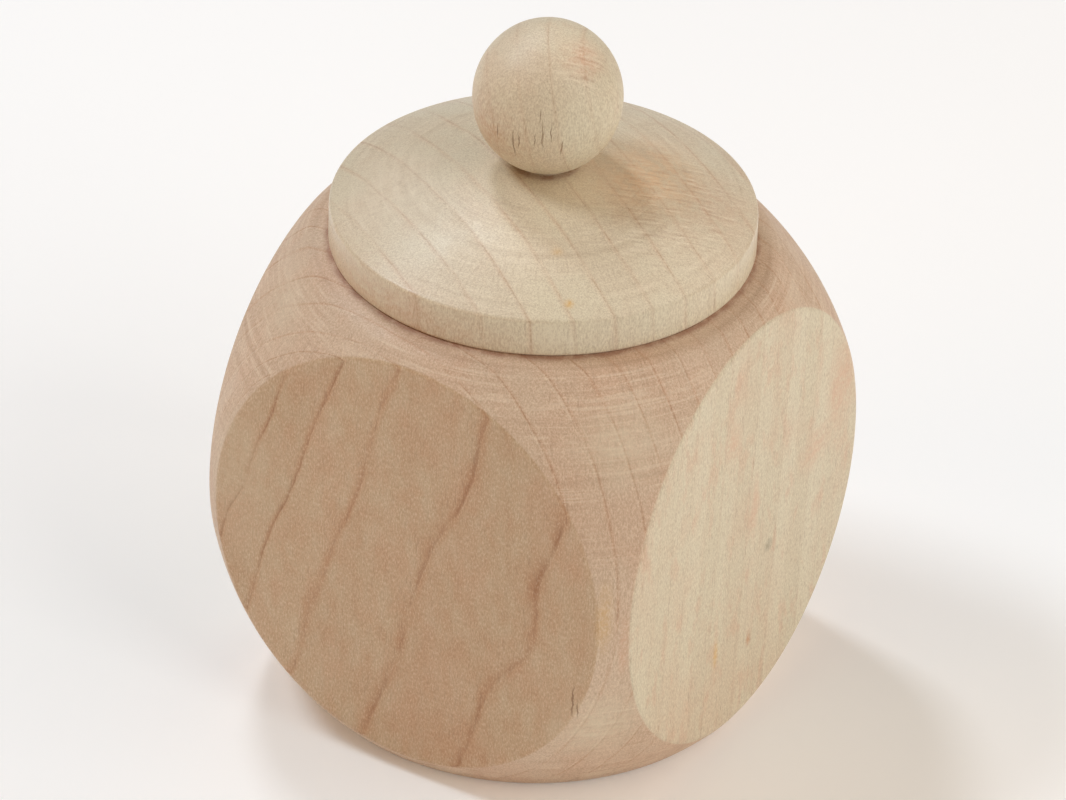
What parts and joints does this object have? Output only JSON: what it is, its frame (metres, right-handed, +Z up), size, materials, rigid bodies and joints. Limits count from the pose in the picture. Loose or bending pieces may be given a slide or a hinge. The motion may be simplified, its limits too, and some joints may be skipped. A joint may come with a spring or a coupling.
{
  "type": "jack in the box",
  "caption": "Turned wooden box with round flats on its sides and a ball-knobbed lift-off lid over a sprung wooden jack.",
  "frame": {"origin": "middle of the round base that the box stands on", "axes": "+Z up along the turning axis; the four round flats face +X, -X, +Y and -Y; the jack's nose points along -Y"},
  "size_m": [0.065, 0.065, 0.0987],
  "materials": {
    "block_wood": "raw, fine sanded",
    "lid_wood": "raw, fine sanded",
    "jack_wood": "raw, fine sanded",
    "inner_wood": "raw, cut",
    "spring_steel": "bright drawn wire",
    "screw_steel": "yellow zinc plated"
  },
  "bodies": {
    "box": {"box_body": "block_wood", "spring_base": "inner_wood", "base_screw": "screw_steel", "base_staple_1": "spring_steel", "base_staple_2": "spring_steel", "base_staple_3": "spring_steel", "spring": "spring_steel"},
    "lid": {"lid": "lid_wood", "knob": "lid_wood", "knob_dowel": "inner_wood"},
    "jack": {"collar": "jack_wood", "collar_staple_1": "spring_steel", "collar_staple_2": "spring_steel", "collar_staple_3": "spring_steel", "neck_dowel": "inner_wood", "head": "jack_wood", "nose": "jack_wood"}
  },
  "joints": [
    {"name": "lid_lift", "type": "slide", "parent": "box", "child": "lid", "axis": [0, 0, 1], "range_m": [0, 0.09]},
    {"name": "jack_rise", "type": "slide", "parent": "box", "child": "jack", "axis": [0, 0, 1], "range_m": [0, 0.06], "deforming": ["spring"]}
  ],
  "couplings": [
    {"joint": "jack_rise", "follows": "lid_lift", "ratio": 0.66667}
  ]
}
